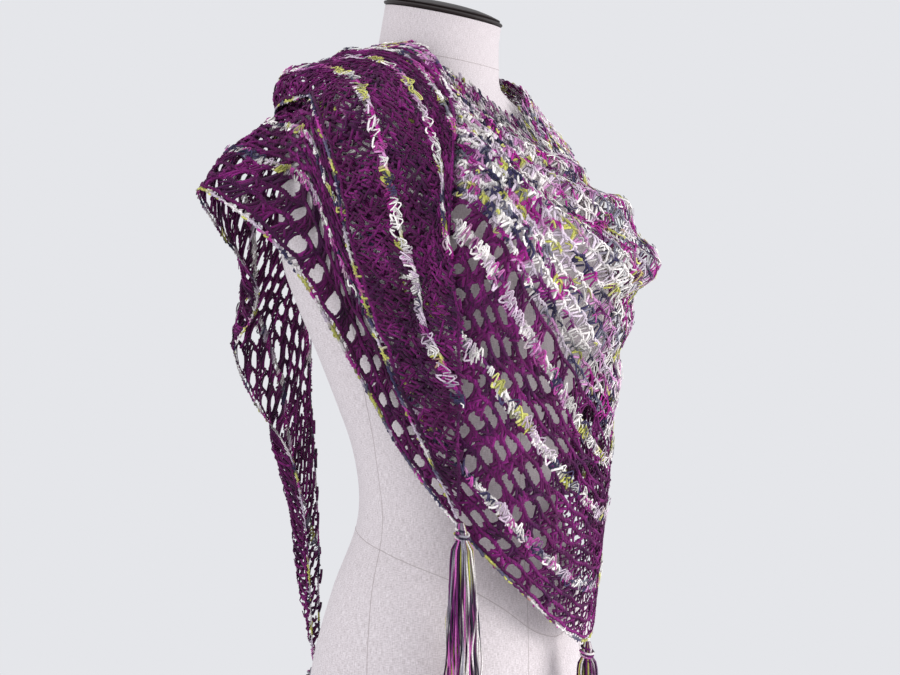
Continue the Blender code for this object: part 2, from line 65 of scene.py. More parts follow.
# Level sections of the dress form: height, half width, front, back, and how square the oval is.
FORM_SECTIONS = [
    (0, 156, -108, 128, 2.2),
    (60, 163, -111, 134, 2.2),
    (130, 167, -112, 133, 2.2),
    (195, 163, -112, 124, 2.2),
    (260, 147, -106, 107, 2.2),
    (330, 118, -93, 90, 2.1),
    (395, 125, -97, 92, 2.2),
    (443, 138, -103, 104, 2.4),
    (491, 150, -110, 120, 2.6),
    (530, 160, -114, 133, 2.8),
    (568, 170, -113, 142, 3.0),
    (630, 176, -98, 143, 3.0),
    (680, 177, -76, 136, 2.8),
    (705, 170, -60, 127, 2.6),
    (725, 148, -51, 118, 2.5),
    (745, 118, -44, 109, 2.4),
    (762, 88, -40, 101, 2.2),
    (780, 66, -34, 95, 2.0),
    (800, 60, -34, 88, 2.0),
    (850, 55, -42, 74, 2.0),
]
FORM_ROWS = np.array(FORM_SECTIONS, float)
BUST = {"out": 70.0, "high": 520.0, "rise": 20.0, "wide": 48.0, "tall": 55.0}
NECK_TOP = 822.0
NECK_SLOPE = 0.19
NECK_MID_Y = 18.0

# Where each line across the flat shawl lies when worn. along: its distance from the spine in the flat, minus
# to the wearer's right. hem, low, middle, high and edge are its points at HEIGHTS of its length; None is on the
# straight line between its neighbours.
HEIGHTS = (0.0, 0.22, 0.45, 0.65, 1.0)
SECTIONS = [
    # along, hem, low, middle, high, edge
    (-1190, (-50, 147, 160), None, None, None, (-42, 147, 160)),
    (-1082, (-62, 142, 250), (-60, 160, 246), None, None, (-34, 152, 252)),
    (-996, (-67, 146, 327), (-63, 172, 330), None, None, (-25, 162, 345)),
    (-919, (-69, 168, 392), (-76, 184, 400), None, None, (-15, 180, 455)),
    (-858, (-96, 192, 439), None, None, None, (0, 188, 530)),
    (-798, (-116, 196, 492), (-108, 208, 500), None, None, (12, 184, 600)),
    (-755, (-117, 172, 520), (-103, 204, 530), None, None, (15, 172, 655)),
    (-716, (-103, 174, 548), (-112, 192, 570), None, (-40, 172, 660), (15, 150, 700)),
    (-666, (-136, 168, 577), (-138, 180, 612), None, (-62, 156, 700), (5, 125, 742)),
    (-602, (-188, 152, 603), (-172, 160, 650), None, (-98, 134, 716), (-20, 98, 772)),
    (-520, (-247, 122, 637), (-200, 126, 676), None, (-138, 112, 722), (-48, 72, 780)),
    (-445, (-212, 66, 588), None, None, None, (-66, 45, 784)),
    (-334, (-170, 10, 480), None, None, None, (-76, 8, 778)),
    (-220, (-138, -46, 373), None, (-160, -88, 520), (-150, -122, 622), (-68, -24, 759)),
    (-110, (-104, -124, 279), None, (-102, -150, 502), (-108, -172, 598), (-34, -42, 732)),
    (0, (0, -142, 212), None, (0, -180, 500), (0, -212, 584), (0, -48, 718)),
    (110, (90, -96, 284), None, (96, -108, 502), (88, -114, 594), (30, -42, 730)),
    (214, (134, -42, 368), None, (156, -52, 520), (144, -74, 618), (66, -20, 754)),
    (321, (174, 0, 470), None, None, None, (74, 8, 774)),
    (414, (192, 60, 560), None, None, None, (68, 45, 784)),
    (490, (166, 134, 612), None, None, None, (44, 76, 782)),
    (565, (90, 168, 642), None, None, None, (2, 98, 785)),
    (644, (0, 174, 668), None, None, None, (-42, 90, 788)),
    (713, (-98, 148, 700), (-100, 146, 730), (-84, 124, 762), None, (-72, 58, 788)),
    (785, (-144, 107, 727), (-140, 116, 752), (-114, 100, 768), None, (-82, 22, 786)),
    (832, (-152, 66, 724), (-146, 62, 746), None, None, (-82, -16, 778)),
    (900, (-186, 16, 660), None, None, None, (-124, -84, 677)),
    (945, (-186, 6, 608), None, None, None, (-140, -98, 590)),
    (1005, (-184, -14, 540), None, None, None, (-142, -100, 510)),
    (1088, (-162, -42, 447), None, None, None, (-134, -94, 421)),
    (1190, (-130, -84, 340), None, None, None, (-126, -86, 335)),
]

# Folds of the cowl and of the cloth over the left shoulder: the middle of each along the flat, its height on
# the section there and at its ends, how far it runs to each side, how far it stands out and how wide it is.
FOLDS = [
    # middle, height, end height, reach, rise, width
    (-40, 0.60, 0.86, 330, 24, 0.042),
    (-40, 0.72, 0.93, 300, 20, 0.036),
    (-40, 0.83, 0.97, 280, 17, 0.034),
    (-40, 0.49, 0.74, 300, 16, 0.040),
    (-40, 0.39, 0.60, 260, 10, 0.045),
    (640, 0.40, 0.30, 210, 14, 0.10),
    (620, 0.75, 0.70, 240, 16, 0.09),
]
TROUGH = 0.55

# The left wing from OVER_FROM on lies over the cloth up to UNDER_TO, where that is within NEAR_LAYER of it. It
# is lifted off LIFTS times, the first SOFT_LIFTS of them softened.
OVER_FROM = 590.0
UNDER_TO = 40.0
NEAR_LAYER = 45.0
BESIDE = 0.8
LIFTS = 14
SOFT_LIFTS = 11

# The worked pieces: name, the CAD stretch that each stands for, and first and last place along the flat.
PIECES = [
    ("lace_back_tail", "shawl_back_tail", -1190, -700),
    ("lace_right_wing", "shawl_right_wing", -700, -290),
    ("lace_front_right", "shawl_front", -290, -100),
    ("lace_front_middle", "shawl_front", -100, 100),
    ("lace_front_left", "shawl_front", 100, 290),
    ("lace_left_shoulder", "shawl_left_shoulder", 290, 580),
    ("lace_neck_wrap", "shawl_neck_wrap", 580, 820),
    ("lace_front_tail", "shawl_front_tail", 820, 1190),
]


def smooth(knots, values, at):
    """A smooth curve through values at knots, read at the places in at."""
    knots = np.asarray(knots, float)
    values = np.asarray(values, float)
    at = np.clip(np.asarray(at, float), knots[0], knots[-1])
    slope = np.gradient(values, knots, axis=0)
    i = np.clip(np.searchsorted(knots, at, side="right") - 1, 0, len(knots) - 2)
    step = knots[i + 1] - knots[i]
    t = (at - knots[i]) / step
    if values.ndim > 1:
        t = t[..., None]
        step = step[..., None]
    rise = 3 * t**2 - 2 * t**3
    ease_out = (t**3 - 2 * t**2 + t) * slope[i] * step
    ease_in = (t**3 - t**2) * slope[i + 1] * step
    return (1 - rise) * values[i] + rise * values[i + 1] + ease_out + ease_in


def outside_form(p):
    """How far points lie outside the dress form, level with it; minus is inside."""
    half_wide, front, back, square = np.moveaxis(smooth(FORM_ROWS[:, 0], FORM_ROWS[:, 1:], p[..., 2]), -1, 0)
    mid = (front + back) / 2
    half_deep = (back - front) / 2
    x = p[..., 0]
    y = p[..., 1] - mid
    radius = np.hypot(x, y) + 1e-9
    ratio = (np.abs(x / half_wide) ** square + np.abs(y / half_deep) ** square) ** (1 / square)
    side = ((np.abs(x) - BUST["out"]) / BUST["wide"]) ** 2
    level = ((p[..., 2] - BUST["high"]) / BUST["tall"]) ** 2
    bust = BUST["rise"] * np.exp(-side - level) * np.clip(-y / half_deep, 0, 1)
    return radius - radius / np.maximum(ratio, 1e-6) - bust


def form_distance(p):
    """The distance of points from the dress form and the direction straight away from it."""
    slope = np.stack([outside_form(p + e) - outside_form(p - e) for e in np.eye(3)], -1) / 2
    size = np.linalg.norm(slope, axis=-1)
    return outside_form(p) / size, slope / size[..., None]


def clear_of_form(p, gap):
    """Points moved out until they are a gap clear of the form."""
    for _ in range(6):
        distance, away = form_distance(p)
        p = p + away * np.maximum(gap - distance, 0)[..., None]
    return p


def even_along(curve):
    """Curves (n, k, 3) with their k points spaced evenly again."""
    out = np.empty_like(curve)
    for i, line in enumerate(curve):
        run = np.concatenate([[0], np.cumsum(np.linalg.norm(np.diff(line, axis=0), axis=1))])
        at = np.linspace(0, run[-1], len(line))
        out[i] = np.stack([np.interp(at, run, line[:, k]) for k in range(3)], -1)
    return out


def section_points():
    """The table's sections with every None filled in: places along (n,) and points (n, 5, 3)."""
    along = np.array([row[0] for row in SECTIONS], float)
    points = np.empty((len(SECTIONS), len(HEIGHTS), 3))
    for i, row in enumerate(SECTIONS):
        known = [k for k, p in enumerate(row[1:]) if p is not None]
        given = np.array([row[1 + k] for k in known], float)
        at = [HEIGHTS[k] for k in known]
        for k in range(3):
            points[i, :, k] = np.interp(HEIGHTS, at, given[:, k])
    return along, points


GRID_ALONG = np.arange(-1190.0, 1190.1, 10.0)
GRID_UP = np.linspace(0, 1, 41)


def surface_normals(p):
    """Unit normals of a grid of points (n, k, 3), pointing away from the form."""
    n = np.cross(np.gradient(p, axis=0), np.gradient(p, axis=1))
    return n / (np.linalg.norm(n, axis=-1)[..., None] + 1e-9)


def soften(field):
    """A field on the grid, each value drawn half way to its four neighbours."""
    padded = np.pad(field, ((1, 1), (1, 1), (0, 0)), mode="edge")
    around = (padded[:-2, 1:-1] + padded[2:, 1:-1] + padded[1:-1, :-2] + padded[1:-1, 2:]) / 4
    return (field + around) / 2


def grid_tree(grid):
    """A grid of points as a surface to measure from."""
    rows, ups = grid.shape[:2]
    quads = []
    for i in range(rows - 1):
        for k in range(ups - 1):
            corner = i * ups + k
            quads.append((corner, corner + ups, corner + ups + 1, corner + 1))
    return BVHTree.FromPolygons(grid.reshape(-1, 3).tolist(), quads)


def lift_off(tree, points, gap):
    """How far, and which way, points must move to stand a gap clear of the lower layer."""
    lift = np.zeros_like(points)
    for i, p in enumerate(points):
        place, normal, _, far = tree.find_nearest(p.tolist(), NEAR_LAYER)
        if place is None:
            continue
        normal = np.array(normal)
        height = (p - np.array(place)) @ normal
        beside_it = abs(height) < far * BESIDE
        side = 1 if height >= 0 or beside_it else -1
        lift[i] = normal * max(gap - side * far, 0)
    return lift


def settle_over(grid):
    """Lifts the left wing, where it crosses over the right one, clear of it."""
    tree = grid_tree(grid[GRID_ALONG < UNDER_TO])
    over = GRID_ALONG > OVER_FROM
    top = grid[over]
    for turn in range(LIFTS):
        lift = lift_off(tree, top.reshape(-1, 3), LAYER_GAP).reshape(top.shape)
        if turn < SOFT_LIFTS:
            lift = soften(soften(lift))
        top = top + lift
    grid = grid.copy()
    grid[over] = top
    return clear_of_form(grid, FORM_GAP)


def worn_grid():
    """The worn middle surface on GRID_ALONG by GRID_UP."""
    along, points = section_points()
    by_height = smooth(along, points.reshape(len(along), -1), GRID_ALONG).reshape(-1, len(HEIGHTS), 3)
    by_height = np.moveaxis(by_height, 1, 0).reshape(len(HEIGHTS), -1)
    grid = np.moveaxis(smooth(HEIGHTS, by_height, GRID_UP).reshape(len(GRID_UP), -1, 3), 0, 1)
    grid = even_along(soften(soften(clear_of_form(grid, FORM_GAP))))
    grid = clear_of_form(grid, FORM_GAP)
    normal = surface_normals(grid)
    for middle, height, end_height, reach, rise, width in FOLDS:
        t = np.clip(np.abs(GRID_ALONG - middle) / reach, 0, 1)
        at = height + (end_height - height) * t**1.3
        fade = (1 - t**2) ** 2
        off = ((GRID_UP[None] - at[:, None]) / width) ** 2
        ridge = np.exp(-off) - TROUGH * np.exp(-off / 4)
        grid = grid + normal * (rise * fade[:, None] * ridge)[..., None]
    return settle_over(clear_of_form(grid, FORM_GAP))


WORN = worn_grid()
WORN_NORMAL = soften(surface_normals(WORN))


def on_grid(field, along, up):
    """A grid's values at places along the flat and heights of the section."""
    row = (np.asarray(along, float) - GRID_ALONG[0]) / (GRID_ALONG[1] - GRID_ALONG[0])
    step = np.asarray(up, float) * (len(GRID_UP) - 1)
    i = np.clip(row.astype(int), 0, len(GRID_ALONG) - 2)
    k = np.clip(step.astype(int), 0, len(GRID_UP) - 2)
    s = np.clip(row - i, 0, 1)[..., None]
    t = np.clip(step - k, -0.5, 1.5)[..., None]
    low = field[i, k] * (1 - s) + field[i + 1, k] * s
    high = field[i, k + 1] * (1 - s) + field[i + 1, k + 1] * s
    return low * (1 - t) + high * t


# Painted shade and light on the yarn: its colour is darkened deep in a fold, where the gathers beside it would
# shade it, and lightened a little on the ridges that stand out.
SHADE_TURNS = 40
even_surface = WORN.copy()
for _ in range(SHADE_TURNS):
    even_surface = soften(even_surface)
stands_out = ((WORN - even_surface) * WORN_NORMAL).sum(-1)
PAINTED_FOLD_SHADE = np.clip(0.96 + 0.11 * stands_out, 0.6, 1.12)[..., None]

# How the worked rows settle on the worn surface. The stripes and the centre are worked SETTLE_FROM up from the
# hem, and SETTLE gives, by distance from the spine, how far up they come to lie. Above SETTLED_TO the rows stay
# where they are worked. SHIFT is how far the left wing's top edge slips towards its tip.
SETTLE_FROM = (62.0, 134.0, 190.0, 209.0)
SETTLED_TO = 240.0
TIP_END = 2.0
SHORTEST = 4.0
SETTLE = [
    # along, first stripe, second stripe, third stripe, centre
    (0, 52, 113, 163, 178),
    (60, 45, 124, 180, 212),
    (110, 45, 138, 205, 236),
    (170, 49, 152, 226, 252),
    (250, 56, 152, 230, 256),
    (300, 75, 152, 225, 250),
    (350, 103, 157, 215, 240),
    (430, 110, 160, 212, 232),
    (520, 82, 146, 200, 219),
    (700, 62, 134, 190, 209),
    (1190, 62, 134, 190, 209),
]
SHIFT = np.array([(0, 0), (110, 40), (214, 61), (321, 93), (414, 83), (490, 95), (565, 125), (644, 163),
                  (675, 157), (713, 148), (785, 115), (832, 89), (900, 53), (945, 36), (1005, 15), (1088, 0),
                  (1190, 0)], float)


def settled(side, run, far):
    """Places along and heights of the section on the worn surface, of points of the work."""
    flat = np.clip(run * COS - far * SIN, 0, HALF_SPAN - TIP_END)
    length = np.maximum(DEPTH * (1 - flat / HALF_SPAN), SHORTEST)
    top = np.maximum(length * COS, SETTLED_TO)
    rows = np.array(SETTLE, float)
    worked = [np.zeros_like(far)] + [np.full_like(far, v) for v in SETTLE_FROM] + [top]
    worn = [np.zeros_like(far)] + [np.interp(flat, rows[:, 0], rows[:, k]) for k in (1, 2, 3, 4)] + [top]
    lies = far.copy()
    for k in range(len(worked) - 1):
        part = (far >= worked[k]) & (far <= worked[k + 1])
        share = (far - worked[k]) / (worked[k + 1] - worked[k])
        lies = np.where(part, worn[k] + (worn[k + 1] - worn[k]) * share, lies)
    up = lies / COS / length
    slip = np.interp(flat, SHIFT[:, 0], SHIFT[:, 1]) * (side > 0)
    along = np.clip(flat + slip * (0.2 + 0.8 * np.clip(up, 0, 1)), 0, HALF_SPAN - TIP_END)
    return side * along, np.clip(up, -0.01, 1.02)


# Materials.


def material(name, colour, roughness, **more):
    """A plain material; more names further inputs of its shader, with _ for a space."""
    made = bpy.data.materials.new(name)
    made.use_nodes = True
    shader = made.node_tree.nodes["Principled BSDF"]
    shader.inputs["Base Color"].default_value = (*colour, 1)
    shader.inputs["Roughness"].default_value = roughness
    for key, value in more.items():
        shader.inputs[key.replace("_", " ")].default_value = value
    return made


def linear(r, g, b):
    """A colour given in screen values of 0 to 255."""
    return tuple((c / 255 / 12.92) if c <= 10 else ((c / 255 + 0.055) / 1.055) ** 2.4 for c in (r, g, b))


def add_node(tree, kind, **values):
    """A shader node with some of its inputs set, with _ for a space in their names."""
    made = tree.nodes.new("ShaderNode" + kind)
    for key, value in values.items():
        made.inputs[key.replace("_", " ")].default_value = value
    return made


def add_math(tree, operation):
    made = add_node(tree, "Math")
    made.operation = operation
    return made


def add_bump(tree, height, shader, strength, distance):
    """Raises and lowers the surface by a node's value."""
    bump = add_node(tree, "Bump", Strength=strength, Distance=distance)
    tree.links.new(height, bump.inputs["Height"])
    tree.links.new(bump.outputs["Normal"], shader.inputs["Normal"])


def yarn_material(name):
    """Cotton yarn that takes its colour from the mesh, with a fine unevenness and a soft sheen."""
    made = material(name, (0.5, 0.5, 0.5), 0.76, Sheen_Weight=0.05, Sheen_Roughness=0.5, Specular_IOR_Level=0.22)
    tree = made.node_tree
    link = tree.links.new
    shader = tree.nodes["Principled BSDF"]
    colour = add_node(tree, "VertexColor")
    colour.layer_name = "yarn"
    place = add_node(tree, "TexCoord")
    fuzz = add_node(tree, "TexNoise", Scale=900, Detail=2)
    link(place.outputs["Object"], fuzz.inputs["Vector"])
    shade = add_node(tree, "MapRange", From_Min=0.3, From_Max=0.7, To_Min=0.68, To_Max=1.22)
    link(fuzz.outputs["Fac"], shade.inputs["Value"])
    mix = add_node(tree, "VectorMath")
    mix.operation = "SCALE"
    link(colour.outputs["Color"], mix.inputs[0])
    link(shade.outputs["Result"], mix.inputs["Scale"])
    link(mix.outputs["Vector"], shader.inputs["Base Color"])
    add_bump(tree, fuzz.outputs["Fac"], shader, 0.35, 0.0006)
    return made


YARN = yarn_material("yarn_worked")
YARN_MIXED = yarn_material("yarn_tassel")

# The yarns' colours in screen values. PURPLE is the plain yarn. The variegated one is given for each place
# where it is used, with how often each colour comes up there.
PURPLE = [(88, 8, 76), (78, 8, 70), (102, 14, 90), (66, 7, 63), (118, 24, 104)]
VARIEGATED = {
    "mixed": [((238, 232, 230), 0.30), ((204, 190, 204), 0.16), ((200, 140, 190), 0.10),
              ((164, 34, 138), 0.12), ((112, 24, 104), 0.08), ((52, 46, 80), 0.11), ((120, 118, 134), 0.07),
              ((190, 190, 96), 0.06)],
    "hooks": [((242, 238, 234), 0.30), ((212, 192, 210), 0.19), ((200, 200, 110), 0.14),
              ((184, 76, 160), 0.17), ((62, 54, 88), 0.20)],
    "hem": [((226, 220, 220), 0.20), ((190, 176, 192), 0.14), ((190, 190, 100), 0.16), ((92, 88, 112), 0.16),
            ((52, 46, 80), 0.14), ((168, 50, 144), 0.12), ((104, 20, 94), 0.08)],
    "tassel": [((58, 24, 62), 0.21), ((40, 36, 56), 0.13), ((104, 26, 98), 0.14), ((236, 230, 228), 0.19),
               ((194, 96, 172), 0.15), ((184, 186, 86), 0.10), ((150, 146, 158), 0.08)],
}


class Dye:
    """The colour of a ball of yarn along a row: runs of a few stitches that blend into each other."""

    def __init__(self, kind, length, run):
        count = int(length / run) + 4
        if kind == "purple":
            self.picks = np.array([linear(*c) for c in PURPLE])[RNG.integers(0, len(PURPLE), count)]
        else:
            colours = np.array([linear(*c) for c, _ in VARIEGATED[kind]])
            shares = np.array([s for _, s in VARIEGATED[kind]])
            self.picks = colours[RNG.choice(len(colours), count, p=shares / shares.sum())]
        self.at = np.cumsum(RNG.uniform(0.4, 1.6, count)) * run - 2 * run

    def colour(self, place):
        """The colours at places along the yarn."""
        i = np.clip(np.searchsorted(self.at, place), 1, len(self.at) - 1)
        t = np.clip((place - self.at[i - 1]) / (self.at[i] - self.at[i - 1]), 0, 1)
        t = np.clip((t - 0.35) / 0.3, 0, 1)[..., None]
        return self.picks[i - 1] * (1 - t) + self.picks[i] * t


class Yarn:
    """Yarn paths on the flat, kept as points: side of the spine, run along the hem leg, distance from the hem
    and height over the cloth."""

    def __init__(self):
        self.side, self.run, self.far, self.high = [], [], [], []
        self.colour, self.radius, self.sizes = [], [], []

    def add(self, side, run, far, high, dye, radius, dye_at=None):
        n = len(run)
        self.side.append(np.full(n, float(side)))
        self.run.append(np.asarray(run, float))
        self.far.append(np.asarray(far, float))
        self.high.append(np.broadcast_to(high, n).astype(float))
        where = np.asarray(run if dye_at is None else np.broadcast_to(dye_at, n), float)
        self.colour.append(dye.colour(where) * RNG.uniform(0.62, 1.3))
        self.radius.append(np.broadcast_to(radius, n) * RNG.uniform(0.9, 1.1))
        self.sizes.append(n)


def add_object(name, data):
    """An object in the scene."""
    made = bpy.data.objects.new(name, data)
    bpy.context.scene.collection.objects.link(made)
    return made


TUBE_SIDES = 3


def tube_mesh(name, points, normals, colours, radius, sizes, finish, sides=TUBE_SIDES, wide=1.0, high=1.0):
    """One mesh of closed tubes along paths: the paths' points lie end to end and sizes says how many each has.
    wide and high press the tubes flat."""
    sizes = np.asarray(sizes)
    total = len(points)
    starts = np.concatenate([[0], np.cumsum(sizes)[:-1]])
    ends = starts + sizes - 1
    before = np.arange(total) - 1
    before[starts] = starts
    after = np.arange(total) + 1
    after[ends] = ends
    tangent = points[after] - points[before]
    tangent /= np.linalg.norm(tangent, axis=1)[:, None] + 1e-9
    side = np.cross(tangent, normals)
    side /= np.linalg.norm(side, axis=1)[:, None] + 1e-9
    up = np.cross(side, tangent)
    ring = []
    for k in range(sides):
        turn = 2 * math.pi * k / sides + math.pi / 2
        ring.append(points + radius[:, None] * (wide * math.cos(turn) * side + high * math.sin(turn) * up))
    vertices = np.stack(ring, 1).reshape(-1, 3) * MM
    here = np.delete(np.arange(total), ends)
    quads = []
    for k in range(sides):
        a = here * sides + k
        b = here * sides + (k + 1) % sides
        quads.append(np.stack([a, b, b + sides, a + sides], 1))
    quads = np.concatenate(quads)
    first_caps = starts[:, None] * sides + np.arange(sides)[None, ::-1]
    last_caps = ends[:, None] * sides + np.arange(sides)[None]
    caps = np.concatenate([first_caps, last_caps])
    mesh = bpy.data.meshes.new(name)
    mesh.vertices.add(len(vertices))
    mesh.vertices.foreach_set("co", vertices.ravel())
    counts = np.concatenate([np.full(len(quads), 4), np.full(len(caps), sides)])
    loops = np.concatenate([quads.ravel(), caps.ravel()])
    mesh.loops.add(len(loops))
    mesh.loops.foreach_set("vertex_index", loops)
    mesh.polygons.add(len(counts))
    mesh.polygons.foreach_set("loop_start", np.concatenate([[0], np.cumsum(counts)[:-1]]))
    mesh.polygons.foreach_set("use_smooth", np.ones(len(counts), bool))
    mesh.update(calc_edges=True)
    layer = mesh.color_attributes.new("yarn", "FLOAT_COLOR", "POINT")
    rgba = np.concatenate([np.repeat(colours, sides, 0), np.ones((total * sides, 1))], 1)
    layer.data.foreach_set("color", rgba.ravel())
    mesh.materials.append(finish)
    return add_object(name, mesh)


# The crochet, row by row from the hem. far: distance of the row's lower line from the hem. tall: its height.
HOLE_PITCH = 32.0
ROWS = [
    # kind, far, tall
    ("edging", 0.0, 7.0),
    ("mesh", 7.0, 17.0),
    ("mesh", 24.0, 17.0),
    ("mesh", 41.0, 15.5),
    ("stripe", 56.5, 10.5),
    ("mesh", 67.0, 12.5),
    ("mesh", 79.5, 12.5),
    ("mesh", 92.0, 12.5),
    ("mesh", 104.5, 12.5),
    ("mesh", 117.0, 12.0),
    ("stripe", 129.0, 10.5),
    ("mesh", 139.5, 11.5),
    ("mesh", 151.0, 11.5),
    ("mesh", 162.5, 11.5),
    ("mesh", 174.0, 11.0),
    ("stripe", 185.0, 10.5),
    ("mesh", 195.5, 13.5),
]

# Where the mesh is close: from CLOSE_FROM along the left side, from CLOSE_TAIL_FROM along the right one, and
# round the lower corner. The centre's shells are worked from CENTRE_FROM up.
CLOSE_FROM = 740.0
CLOSE_TAIL_FROM = 925.0
CORNER_WIDE = 62.0
CORNER_TALL = 130.0
CENTRE_FROM = 209.0
CENTRE_TALL = 13.0
CENTRE_ROWS = 28
SHELL_PITCH = 15.0
STRIPE_PITCH = 12.0
CHAIN_BREAK = 64.0
STRAND = 1.06


def row_ends(far):
    """Where a row starts at the spine and ends at the top edge."""
    return far * TAN, (DEPTH - far * COS) / SIN


def chain(yarn, side, start, end, far, dye, bend,
          strands=3, swing=1.8, wave=9.0, lift=0.9, step=3.1, radius=STRAND):
    """A chain along a row, its strands crossing each other; bend gives its rise at each place."""
    if end - start < 6:
        return
    count = max(1, int((end - start) / CHAIN_BREAK))
    edges = np.linspace(start, end, count + 1)
    for a, b in zip(edges[:-1], edges[1:]):
        run = np.linspace(a, b + 0.8, max(3, int((b - a) / step) + 1))
        base = far + bend(run)
        for k in range(strands):
            turn = run * (2 * math.pi / wave) + k * 2 * math.pi / strands
            rise = base + swing * np.sin(turn)
            yarn.add(side, run, rise, lift + 0.6 * np.cos(turn), dye, radius, run + 2.3 * k)


def post(yarn, side, foot, top, dye, dye_at, radius=STRAND, pinch=0.0, centre=0.0, points=4, lift=0.0):
    """One strand of a tall stitch from foot to top, both (run, far), drawn in to a centre line half way."""
    t = np.linspace(0, 1, points)
    run = foot[0] + (top[0] - foot[0]) * t
    run = run + (centre - run) * pinch * np.sin(math.pi * t) + RNG.uniform(-0.5, 0.5) * np.sin(math.pi * t)
    far = foot[1] + (top[1] - foot[1]) * t
    high = lift + RNG.uniform(-0.9, 0.9) + RNG.uniform(-0.7, 1.1) * np.sin(math.pi * t)
    yarn.add(side, run, far, high, dye, radius, dye_at)


def hook(yarn, side, run, far, reach, wide, dye, radius=0.82, lift=2.2):
    """A loose V of chain that stands up from a row."""
    t = np.linspace(0, 1, 6)
    lean = RNG.uniform(-4.0, 4.0)
    x = run + (t - 0.5) * wide + lean * np.sin(math.pi * t) ** 2
    y = far + reach * (1 - np.abs(2 * t - 1) ** 1.3)
    yarn.add(side, x, y, lift + RNG.uniform(-0.6, 0.8) + 0.7 * np.sin(math.pi * t), dye, radius, run)


# The strands of a stitch cluster: foot and top, in millimetres to the side of its middle.
MESH_POSTS = [(-10.5, -8.0), (-8.5, -3.0), (-4.0, -10.5), (-6.0, 1.0), (-0.5, -6.0), (0.5, 6.0), (6.0, -1.0),
              (4.0, 10.5), (8.5, 3.0), (10.5, 8.0)]
CLOSE_POSTS = [(-3.8, -1.0), (-0.6, 5.6), (3.8, -4.8)]
STRIPE_POSTS = [(-3.2, -5.6), (-1.0, -3.2), (-0.4, 0.2), (1.2, 3.0), (3.4, 5.8)]
SHELL_POSTS = [(-2.6, -6.6), (-1.2, -3.6), (0.2, -0.4), (1.4, 3.2), (2.4, 6.4)]

# How much thicker the strands of the close stitches are at the lower corner and in the back tail.
CORNER_THICK = 1.25
TAIL_THICK = 1.7


def close_from(side):
    """Where the mesh gets close towards the tip on this side."""
    return CLOSE_FROM if side > 0 else CLOSE_TAIL_FROM


def is_close(side, flat, far):
    """Whether small clusters are set close together: towards the tips and round the lower corner."""
    return flat > close_from(side) or (flat < CORNER_WIDE and far < CORNER_TALL)


def close_cluster(yarn, side, centre, flat, far, tall, end, dye):
    """Three small clusters in the place of one cluster and one hole, in two short rows."""
    posts, thick = CLOSE_POSTS, 1.0
    if flat < CORNER_WIDE:
        thick = CORNER_THICK
    elif side < 0:
        posts, thick = CLOSE_POSTS[::2], TAIL_THICK
    for level in (0, 1):
        for k in range(3):
            middle = centre + (k - 1 + 0.5 * level) * HOLE_PITCH / 3 + RNG.uniform(-1, 1)
            if middle > end - 3:
                continue
            low = far + tall * 0.5 * level - 0.6
            for foot, top in posts:
                a = middle + (foot + RNG.uniform(-1.6, 1.6)) * 0.95
                b = middle + (top + RNG.uniform(-1.6, 1.6)) * 0.95
                below = low - RNG.uniform(0, 1.2)
                above = low + tall * 0.5 + RNG.uniform(0, 1.8)
                post(yarn, side, (a, below), (b, above), dye, a,
                     centre=middle, points=3, radius=STRAND * thick)


def mesh_row(yarn, side, far, tall, number, dye):
    """Clusters of tall stitches with a big six-sided hole between each two, joined by a chain above. Towards
    the tips small clusters are set close together, and short slanting strands take the chain's place."""
    start, end = row_ends(far + tall / 2)
    column = HOLE_PITCH * COS / 2
    shift = number % 2
    middle = far + tall / 2
    first = math.ceil((start * COS - middle * SIN) / column)
    last = math.floor((end * COS - middle * SIN) / column)
    first += (first + shift) % 2
    for j in range(first - 2, last + 3, 2):
        centre = (j * column + middle * SIN) / COS + RNG.uniform(-1.2, 1.2)
        if centre < start - 9 or centre > end + 5:
            continue
        flat = centre * COS - middle * SIN
        if is_close(side, flat, middle):
            close_cluster(yarn, side, centre, flat, far, tall, end, dye)
            continue
        wide = RNG.uniform(0.8, 1.16)
        for foot, top in MESH_POSTS:
            a = centre + (foot + RNG.uniform(-1.7, 1.7)) * wide
            b = centre + (top + RNG.uniform(-1.7, 1.7)) * wide
            low = far - 0.8 + RNG.uniform(-1.6, 1.4)
            high = far + tall + RNG.uniform(-1.4, 1.8)
            if min(a, b) < start - 3 or max(a, b) > end + 2:
                continue
            post(yarn, side, (a, low), (b, high), dye, a, pinch=0.22, centre=centre)
        for _ in range(3):
            x = centre + RNG.uniform(-8.0, 8.0) * wide
            y = far + tall * RNG.uniform(0.25, 0.75)
            slant = RNG.uniform(1.2, 3.4) * RNG.choice((-1, 1))
            if start < x - 3 and x + 3 < end:
                post(yarn, side, (x - 2.8, y - slant), (x + 2.8, y + slant), dye, x, points=3, lift=1.5)

    def bend(run):
        """The chain dips over each cluster and rises over each hole."""
        phase = (run * COS - middle * SIN) / column + shift
        return 0.5 - 1.5 * np.cos(math.pi * phase)

    start, end = row_ends(far + tall)
    top = far + tall
    turn = min(max((close_from(side) + top * SIN) / COS, start + 8), end)
    chain(yarn, side, max(start - 3, 0), turn, top, dye, bend)
    for run in np.arange(turn, end - 4, 7.5):
        run += RNG.uniform(-2, 2)
        for _ in range(2):
            a, b = RNG.uniform(-5, 5, 2)
            low = top - RNG.uniform(1.5, 3.5)
            high = top + RNG.uniform(1.5, 3.5)
            post(yarn, side, (run + a, low), (run + b, high), dye, run,
                 points=3, lift=0.8, radius=STRAND * 0.95)


